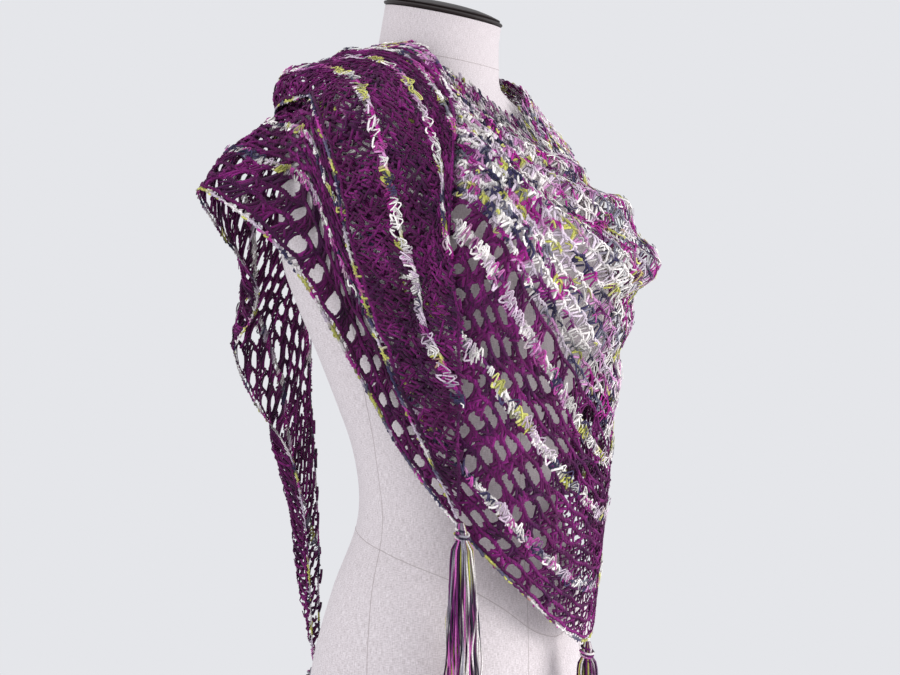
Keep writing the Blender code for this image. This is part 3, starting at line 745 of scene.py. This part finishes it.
def stripe_row(yarn, side, far, tall, dye, hooks):
    """A row in the mixed yarn: small fans of strands, with loose hooks over them on the centre's side."""
    start, end = row_ends(far + tall / 2)
    for centre in np.arange(start + STRIPE_PITCH / 2, end - 2, STRIPE_PITCH):
        centre += RNG.uniform(-2.2, 2.2)
        lean = RNG.uniform(-4.0, 4.0)
        for foot, top in STRIPE_POSTS:
            high = far + tall * RNG.uniform(0.7, 1.12)
            post(yarn, side, (centre + foot, far - 1.0), (centre + top + lean, high), dye, centre + foot * 2,
                 lift=0.8, radius=STRAND * 0.95)
        for _ in range(RNG.integers(2, 6)):
            hook(yarn, side, centre + lean + RNG.uniform(-6.0, 6.0), far + tall - RNG.uniform(3.0, 9.0),
                 RNG.uniform(3.0, 11.0), RNG.uniform(3.0, 9.0), hooks, radius=0.6, lift=RNG.uniform(1.4, 3.4))
        if RNG.random() < 0.5:
            hook(yarn, side, centre - RNG.uniform(2.0, 6.0), far + 3.0, -RNG.uniform(3.0, 7.0),
                 RNG.uniform(4.0, 8.0), hooks, lift=1.8)
    chain(yarn, side, max(start - 2, 0), end, far + tall - 1.5, dye, lambda run: 0.8 * np.sin(run * 0.55),
          strands=2, swing=1.3, lift=1.3, radius=1.0)


def shell_row(yarn, side, far, tall, number, dye, hooks):
    """Shells of tall stitches, each in the gap between two of the row below."""
    start, end = row_ends(far + tall / 2)
    shift = SHELL_PITCH / 2 * (number % 2)
    for centre in np.arange(start - shift + SHELL_PITCH / 2, end - 1, SHELL_PITCH):
        centre += RNG.uniform(-1.3, 1.3)
        spread = RNG.uniform(0.75, 1.25)
        for foot, top in SHELL_POSTS:
            high = far + tall * (1.04 - 0.012 * abs(top) ** 1.4) + RNG.uniform(-1.8, 1.8)
            low = far - 0.6 + RNG.uniform(-1.8, 1.4)
            post(yarn, side, (centre + foot + RNG.uniform(-1.4, 1.4), low),
                 (centre + top * spread + RNG.uniform(-1.0, 1.0), high), dye, centre + top * 1.5,
                 radius=STRAND * 0.95, lift=0.2)
        if RNG.random() < 0.55:
            reach = RNG.uniform(3.5, 7.0) * RNG.choice((-1, 1))
            hook(yarn, side, centre + RNG.uniform(-3, 3), far + tall * 0.6, reach, RNG.uniform(3, 7), hooks,
                 radius=0.7)
    phase = number * 1.3
    chain(yarn, side, max(start - 2, 0), end, far + tall, dye,
          lambda run: 1.5 * np.sin(run * (2 * math.pi / SHELL_PITCH) + phase), strands=2, swing=1.8, wave=8.5,
          lift=0.9, step=2.9, radius=0.95)


def edging_row(yarn, side, tall, dye, hooks):
    """The hem: a chain of the mixed yarn with small knots, joined to the first mesh row."""
    _, end = row_ends(0)
    chain(yarn, side, 0, end - 2, 1.4, dye, lambda run: 0.7 * np.sin(run * 0.8),
          strands=2, swing=1.0, wave=7.0, radius=0.95)
    for centre in np.arange(4.0, end - 6, 8.0):
        centre += RNG.uniform(-1, 1)
        top = centre + RNG.uniform(-2.5, 2.5)
        post(yarn, side, (centre + RNG.uniform(-2, 2), 1.0), (top, tall), dye, centre, radius=1.0)
        if RNG.random() < 0.6:
            hook(yarn, side, centre + 3, 1.4, -RNG.uniform(1.5, 3.4), 3.4, hooks, radius=0.8, lift=0.6)
    chain(yarn, side, 2.0, end - 8, tall, Dye("purple", LEG, 60),
          lambda run: 0.9 * np.cos(2 * math.pi * run / HOLE_PITCH), strands=2, swing=1.3)


def crochet():
    """Every row of both halves, from the hem up."""
    yarn = Yarn()
    for side in (-1, 1):
        meshes = 0
        for kind, far, tall in ROWS:
            if kind == "edging":
                edging_row(yarn, side, tall, Dye("hem", LEG, 15), Dye("hem", LEG, 9))
            elif kind == "mesh":
                meshes += 1
                mesh_row(yarn, side, far, tall, meshes, Dye("purple", LEG, 12))
            else:
                meshes += 1
                stripe_row(yarn, side, far, tall, Dye("mixed", LEG, 11), Dye("hooks", LEG, 14))
        for number in range(CENTRE_ROWS):
            far = CENTRE_FROM + number * CENTRE_TALL
            if far > DEPTH * COS - CENTRE_TALL:
                break
            shell_row(yarn, side, far, CENTRE_TALL, number, Dye("mixed", LEG, 10), Dye("hooks", LEG, 12))
    return yarn


def top_edge(yarn):
    """The top edge: one chain from tip to tip."""
    for side in (-1, 1):
        dye = Dye("mixed" if side < 0 else "purple", LEG * 2, 14)
        for centre in np.arange(6.0, HALF_SPAN - 20, 12.0):
            x = centre + np.linspace(-7.0, 7.0, 6)
            for strand in (0, math.pi):
                turn = x * 0.9 + strand
                height = DEPTH - 3.0 + np.sin(turn)
                run = x * COS + height * SIN
                far = height * COS - x * SIN
                yarn.add(side, run, far, 0.6 + 0.6 * np.cos(turn), dye, 1.05, centre)


def drift(run, far, seed):
    """A slow unevenness of the work, about 1 either way."""
    a = np.sin(run / 11.3 + seed) * np.sin(far / 9.1 + 1.7 * seed)
    b = np.sin(run / 23.9 - far / 17.3 + 2.6 * seed)
    c = np.sin(run / 6.7 + far / 7.9 + 0.9 * seed)
    return 0.5 * a + 0.4 * b + 0.25 * c


# How thick the yarn is along the shawl, as shares of its radius: thicker where the work is gathered.
THICK_AT = [
    # along, share
    (-1190, 0.61), (-1000, 0.65), (-800, 0.755), (-650, 1.00), (-300, 1.17), (-100, 0.97), (0, 0.745),
    (100, 0.98), (300, 1.18), (590, 1.08), (820, 1.07), (900, 0.92), (1190, 0.82),
]
PRESSED_WIDE = 1.5
PRESSED_HIGH = 0.42


def lay_yarn(yarn):
    """The worked cloth, one mesh for each stretch that shows."""
    side, run, far, high = (np.concatenate(v) for v in (yarn.side, yarn.run, yarn.far, yarn.high))
    colour = np.concatenate(yarn.colour)
    radius = np.concatenate(yarn.radius)
    sizes = np.array(yarn.sizes)
    sideways = 3.0 * drift(run, far, 1.0 + side)
    upwards = 2.4 * np.clip(far / 8.0, 0.3, 1.0) * drift(run, far, 5.0 + side)
    along, up = settled(side, run + sideways, far + upwards)
    points = on_grid(WORN, along, up)
    normals = on_grid(WORN_NORMAL, along, up)
    normals /= np.linalg.norm(normals, axis=1)[:, None]
    points = points + normals * high[:, None]
    radius = radius * np.interp(along, [a for a, _ in THICK_AT], [share for _, share in THICK_AT])
    # Painted shade: the yarn's colour is darkened in the folds' troughs and lightened on their ridges.
    colour = colour * on_grid(PAINTED_FOLD_SHADE, along, up)
    starts = np.concatenate([[0], np.cumsum(sizes)[:-1]])
    middle = along[starts + sizes // 2]
    pieces = {}
    for name, node, first, last in PIECES:
        mine = (middle >= first) & (middle < last)
        if last == HALF_SPAN:
            mine |= middle >= last
        rows = np.repeat(mine, sizes)
        made = tube_mesh(name, points[rows], normals[rows], colour[rows], radius[rows], sizes[mine], YARN,
                         wide=PRESSED_WIDE, high=PRESSED_HIGH)
        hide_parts(node)
        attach(made, "root")
        pieces[name] = made
    return pieces


def flat_area(first, last):
    """The flat area, in square metres, of the work that comes to lie between two places along the worn one."""
    step = 4.0
    parts = 40
    x = np.arange(-HALF_SPAN + step / 2, HALF_SPAN, step)
    up = (np.arange(parts) + 0.5) / parts
    length = DEPTH * (1 - np.abs(x) / HALF_SPAN)
    drop = up[None] * length[:, None]
    side = np.sign(x)[:, None] + 0 * drop
    far = drop * COS
    run = (np.abs(x)[:, None] + far * SIN) / COS
    along, _ = settled(side, run, far)
    inside = (along >= first) & (along < last)
    return float((inside * (length * step / parts)[:, None]).sum()) * MM * MM


yarn = crochet()
top_edge(yarn)
pieces = lay_yarn(yarn)
for name, _, first, last in PIECES:
    flat = flat_area(first, last)


# The dress form.

NECK_FOOT = 752.0
NECK_FOOT_TALL = 24.0
NECK_FOOT_DROP = 26.0
RAY_REACH = 400.0
RAY_STEPS = 30


def linen_height(z):
    """The height of the solid's section that the linen has at z: its neck stays straight further down."""
    return z + NECK_FOOT_DROP * np.exp(-(((z - NECK_FOOT) / NECK_FOOT_TALL) ** 2))


def form_outline(angle, level, out):
    """Points on the linen, or out from it, at angles round the form (n,) and levels (n,)."""
    z = linen_height(level)
    front, back = smooth(FORM_ROWS[:, 0], FORM_ROWS[:, 1:], z)[:, 1:3].T
    ray = np.stack([np.cos(angle), np.sin(angle), 0 * angle], 1)
    start = np.stack([0 * z, (front + back) / 2, z], 1)
    near = np.zeros(len(z))
    far = np.full(len(z), RAY_REACH)
    for _ in range(RAY_STEPS):
        mid = (near + far) / 2
        inside = outside_form(start + ray * mid[:, None]) < out
        near = np.where(inside, mid, near)
        far = np.where(inside, far, mid)
    return start + ray * near[:, None]


def form_ring(level, sides, out=0.0, slope=0.0):
    """A level section of the linen, moved out; slope tilts it down to the front."""
    turn = 2 * math.pi * np.arange(sides) / sides
    p = form_outline(turn, np.full(sides, float(level)), out)
    p[:, 2] = level + slope * (p[:, 1] - NECK_MID_Y)
    return p


def ring_mesh(name, rings, finish):
    """A closed body through rings."""
    sides = len(rings[0])
    points = np.concatenate(rings) * MM
    faces = [tuple(range(sides))[::-1]]
    for i in range(len(rings) - 1):
        for k in range(sides):
            a = i * sides + k
            b = i * sides + (k + 1) % sides
            faces.append((a, b, b + sides, a + sides))
    last = (len(rings) - 1) * sides
    faces.append(tuple(range(last, last + sides)))
    mesh = bpy.data.meshes.new(name)
    mesh.from_pydata([tuple(p) for p in points], [], faces)
    mesh.shade_smooth()
    mesh.set_sharp_from_angle(angle=math.radians(50))
    mesh.materials.append(finish)
    return add_object(name, mesh)


def linen_material():
    """Plain-woven linen: fine threads round and up the form, thicker and thinner."""
    made = material("linen_woven", linear(214, 204, 205), 0.85, Sheen_Weight=0.15)
    tree = made.node_tree
    link = tree.links.new
    shader = tree.nodes["Principled BSDF"]
    place = add_node(tree, "TexCoord")
    parts = add_node(tree, "SeparateXYZ")
    link(place.outputs["Object"], parts.inputs["Vector"])
    turn = add_math(tree, "ARCTAN2")
    link(parts.outputs["Y"], turn.inputs[0])
    link(parts.outputs["X"], turn.inputs[1])
    threads = []
    for across, up in ((40.0, 1500.0), (300.0, 140.0)):
        join = add_node(tree, "CombineXYZ")
        for source, factor, target in ((turn.outputs[0], across, "X"), (parts.outputs["Z"], up, "Y")):
            times = add_math(tree, "MULTIPLY")
            times.inputs[1].default_value = factor
            link(source, times.inputs[0])
            link(times.outputs[0], join.inputs[target])
        noise = add_node(tree, "TexNoise", Scale=1.0, Detail=2.0)
        link(join.outputs[0], noise.inputs["Vector"])
        threads.append(noise.outputs["Fac"])
    both = add_math(tree, "ADD")
    link(threads[0], both.inputs[0])
    link(threads[1], both.inputs[1])
    ramp = add_node(tree, "MapRange", From_Min=0.75, From_Max=1.25)
    link(both.outputs[0], ramp.inputs["Value"])
    mix = add_node(tree, "Mix")
    mix.data_type = "RGBA"
    mix.inputs["A"].default_value = (*linear(188, 178, 180), 1)
    mix.inputs["B"].default_value = (*linear(232, 224, 227), 1)
    link(ramp.outputs["Result"], mix.inputs["Factor"])
    link(mix.outputs["Result"], shader.inputs["Base Color"])
    add_bump(tree, both.outputs[0], shader, 0.5, 0.0004)
    return made


LINEN = linen_material()
SEAM_THREAD = material("seam_thread", linear(178, 167, 168), 0.9)
CAP_PAINT = material("cap_stain", linear(34, 25, 25), 0.5, Specular_IOR_Level=0.35)

FORM_SIDES = 144
BASE_ROUND = 6.0
BASE_IN = 2.0
CAP_FOOT = NECK_TOP + 3.0
CAP_SLOPE = NECK_SLOPE * 1.3
form_rings = []
for level in [0.0, 2.0, 4.0, 6.0, *np.arange(8, 800.1, 8.0)]:
    inwards = BASE_IN * (1 - min(level, BASE_ROUND) / BASE_ROUND) ** 2
    form_rings.append(form_ring(level, FORM_SIDES, out=-inwards))
form_rings.append(form_ring(CAP_FOOT, FORM_SIDES, slope=CAP_SLOPE))
form = ring_mesh("dress_form_linen", form_rings, LINEN)
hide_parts("dress_form")
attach(form, "root")

# The neck cap's turned profile: how far out from the neck's top edge, and how far above it.
CAP_PROFILE = [
    (-3.0, 0.3), (-0.6, 0.9), (1.2, 2.0), (1.6, 3.2), (0.9, 4.2), (-1.4, 4.8), (-2.0, 5.4), (-0.9, 6.2),
    (-1.1, 7.1), (-3.2, 7.8), (-5.6, 8.5), (-8.0, 9.4), (-13.0, 10.6), (-19.0, 11.9), (-27.0, 12.9),
    (-36.0, 13.4),
]
cap_rings = []
for out, up in CAP_PROFILE:
    ring = form_ring(CAP_FOOT, FORM_SIDES, out=out, slope=CAP_SLOPE)
    cap_rings.append(ring + np.array([0, 0, up]))
cap = ring_mesh("neck_cap_turned", cap_rings, CAP_PAINT)
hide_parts("neck_cap")
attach(cap, "root")

# Seams of the form's cover, as turns round the form in degrees, 0 at the wearer's left and 90 at the back, with
# their heights. The upright ones are given on the wearer's right and are mirrored.
UPRIGHT_SEAMS = {
    "side": [(190, 0), (188, 120), (183, 210), (176, 305), (172, 370), (174, 440), (178, 560), (180, 690)],
    "princess": [(247, 0), (247, 110), (247, 232), (249, 330), (245, 430), (244, 520), (232, 640), (210, 700)],
    "back": [(129, 0), (128, 110), (126, 220), (122, 330), (126, 430), (130, 540), (132, 640), (140, 700)],
}
LEVEL_SEAMS = {
    "waist": [(4, 305), (30, 316), (60, 318), (90, 318), (120, 318), (150, 316), (176, 305)],
    "basque": [(176, 305), (194, 293), (212, 278), (230, 256), (247, 232), (258, 222), (270, 217), (282, 222),
               (293, 232), (310, 256), (328, 278), (346, 293), (364, 305)],
    "neck_base": [(-180, 782), (-90, 770), (0, 782), (90, 790), (180, 782)],
}
SEAM_STEPS = 14
SEAM_RADIUS = 0.7
SEAM_SUNK = 0.35

seams = []
for route in UPRIGHT_SEAMS.values():
    seams += [route, [(180 - turn, height) for turn, height in route]]
seams += LEVEL_SEAMS.values()
seam_points, seam_normals, seam_sizes = [], [], []
for route in seams:
    route = np.array(route, float)
    run = np.linspace(0, len(route) - 1, SEAM_STEPS * (len(route) - 1))
    turn, level = smooth(np.arange(len(route)), route, run).T
    p = form_outline(np.radians(turn), level, 0.0)
    away = form_distance(p)[1]
    p[:, 2] = level
    seam_points.append(p - away * SEAM_SUNK)
    seam_normals.append(away)
    seam_sizes.append(len(p))
seam_points = np.concatenate(seam_points)
seam_mesh = tube_mesh("form_seams", seam_points, np.concatenate(seam_normals), np.ones((len(seam_points), 3)),
                      np.full(len(seam_points), SEAM_RADIUS), seam_sizes, SEAM_THREAD, sides=4)
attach(seam_mesh, "root")

# The tassels.
TASSELS = [
    # name, node, strands, length, width at the end, how far it leans away
    ("tassel_front_yarn", "tassel_front", 76, 190.0, 36.0, 8.0),
    ("tassel_apex_yarn", "tassel_apex", 54, 170.0, 26.0, 0.0),
    ("tassel_back_yarn", "tassel_back", 54, 138.0, 24.0, 2.0),
]
WRAPS = [
    # turns, drop from the top, radius
    (3.2, 12.0, 5.2),
    (1.4, 8.0, 6.0),
    (1.7, 15.0, 5.6),
]
GOLDEN_TURN = 2.39996


def tassel(name, node, strands, long, wide, lean):
    """A bundle of loose strands hung from the top of its solid, with a wrap below its head."""
    low, high = (np.array(c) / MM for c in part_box(node))
    top = np.array([(low[0] + high[0]) / 2, (low[1] + high[1]) / 2, high[2]])
    away = form_distance(top)[1] * np.array([1, 1, 0])
    away = away / np.linalg.norm(away)
    top = top - away * lean * 0.35
    points, normals, colours, radius, sizes = [], [], [], [], []

    def add(path, colour, thick):
        points.append(path)
        out = path - top
        out[:, 2] = 0
        out = out + away * 3 + 1e-3
        normals.append(out / np.linalg.norm(out, axis=1)[:, None])
        colours.append(np.broadcast_to(colour, (len(path), 3)))
        radius.append(np.full(len(path), thick))
        sizes.append(len(path))

    def wobble(t, most):
        """A strand's waves to one side, none where it is tied."""
        slow = RNG.uniform(0.8, most) * np.sin(t * RNG.uniform(3, 9) + RNG.uniform(0, 6))
        quick = RNG.uniform(0.3, 0.9) * np.sin(t * RNG.uniform(14, 28))
        return np.clip(t * 3 - 0.4, 0, 1) * (slow + quick)

    for s in range(strands):
        turn = s * GOLDEN_TURN
        share = math.sqrt((s + 0.5) / strands)
        t = np.linspace(0, 1, 24)
        cut = long - 6.0 - RNG.uniform(0, 14) * (0.4 + share)
        head = np.clip(t * cut / 22.0, 0, 1)
        neck = np.exp(-(((t * cut - 13.0) / 4.0) ** 2)) * 0.35
        flare = (wide / 2 - 8.0) * np.clip(t - 0.1, 0, 1) ** 0.7
        reach = ((2.5 + 6.5 * head) * (1 - neck) + flare) * share
        sway = wobble(t, 3.0)
        swerve = wobble(t, 2.6)
        path = np.stack([top[0] + math.cos(turn) * reach + sway + away[0] * lean * head,
                         top[1] + math.sin(turn) * reach + swerve + away[1] * lean * head,
                         top[2] - 0.5 - t * cut], 1)
        dye = Dye("tassel", 240, 45)
        add(path, dye.colour(t * cut + RNG.uniform(0, 40)) * RNG.uniform(0.75, 1.15), 0.8)
    wrap_dye = Dye("tassel", 400, 16)
    for turns, drop, size in WRAPS:
        t = np.linspace(0, 1, 40)
        turn = t * turns * 2 * math.pi + drop
        round_it = size * (1 + 0.12 * np.sin(turn * 0.63 + drop))
        path = np.stack([top[0] + np.cos(turn) * round_it + away[0] * lean * 0.55,
                         top[1] + np.sin(turn) * round_it + away[1] * lean * 0.55,
                         top[2] - drop - 3.0 + 6.0 * t + 2.2 * np.sin(turn)], 1)
        add(path, wrap_dye.colour(t * 90 + drop * 9), 1.05)
    made = tube_mesh(name, np.concatenate(points), np.concatenate(normals), np.concatenate(colours),
                     np.concatenate(radius), sizes, YARN_MIXED, sides=5)
    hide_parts(node)
    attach(made, "root")


for row in TASSELS:
    tassel(*row)


# The studio. The camera stands off the form's front right, and towards points from the form to it.
CAMERA_AWAY = 1.5
CAMERA_SIDE = 0.011
CAMERA_HEIGHT = 0.503
towards = np.array([-0.829, -0.559, 0.0])
right = np.array([0.559, -0.829, 0.0])
camera_data = bpy.data.cameras.new("camera")
camera_data.lens = 60.0
camera_data.sensor_width = 36.0
camera = add_object("camera", camera_data)
camera.location = towards * CAMERA_AWAY - right * CAMERA_SIDE + np.array([0, 0, CAMERA_HEIGHT])
camera.rotation_euler = (math.pi / 2, 0, math.atan2(-towards[0], towards[1]) + math.pi)
bpy.context.scene.camera = camera


def area_light(name, place, target, size, watts, colour=(1, 1, 1)):
    """A rectangular light turned to its target."""
    data = bpy.data.lights.new(name, "AREA")
    data.shape = "RECTANGLE"
    data.size, data.size_y = size
    data.energy = watts
    data.color = colour
    made = add_object(name, data)
    made.location = place
    made.rotation_euler = (Vector(target) - Vector(place)).to_track_quat("-Z", "Y").to_euler()


def at(forward, sideways, height):
    """A place given from the camera's side: in front of the form, to the picture's right, and its height."""
    return tuple(towards * forward + right * sideways + np.array([0, 0, height]))


area_light("window", at(0.5, 2.0, 0.2), (0, 0, 0.15), (1.4, 0.9), 34, (1.0, 0.99, 0.98))
area_light("fill", at(1.5, -1.9, 0.9), (0, 0, 0.4), (1.8, 1.8), 18, (0.97, 0.98, 1.0))
area_light("top", at(0.4, 0.3, 2.4), (0, 0, 0.6), (1.2, 1.2), 6)

world = bpy.data.worlds.new("studio")
bpy.context.scene.world = world
world.use_nodes = True
background = world.node_tree.nodes["Background"]
background.inputs["Color"].default_value = (*linear(229, 230, 234), 1)
background.inputs["Strength"].default_value = 1.0

FLOOR_RADIUS = 0.66
FLOOR_SIDES = 96
FLOOR_DROP = 0.0005
floor_turns = [2 * math.pi * k / FLOOR_SIDES for k in range(FLOOR_SIDES)]
rim = [(FLOOR_RADIUS * math.cos(turn), FLOOR_RADIUS * math.sin(turn), -FLOOR_DROP) for turn in floor_turns]
floor_mesh = bpy.data.meshes.new("floor")
floor_mesh.from_pydata(rim, [], [tuple(range(FLOOR_SIDES))])
floor_mesh.materials.append(material("floor_paint", linear(226, 227, 230), 0.9))
floor = add_object("floor", floor_mesh)

scene = bpy.context.scene
scene.render.engine = "CYCLES"
scene.view_settings.view_transform = "Standard"
scene.view_settings.look = "None"
scene.render.film_transparent = False
scene.cycles.use_denoising = True
scene.cycles.max_bounces = 6
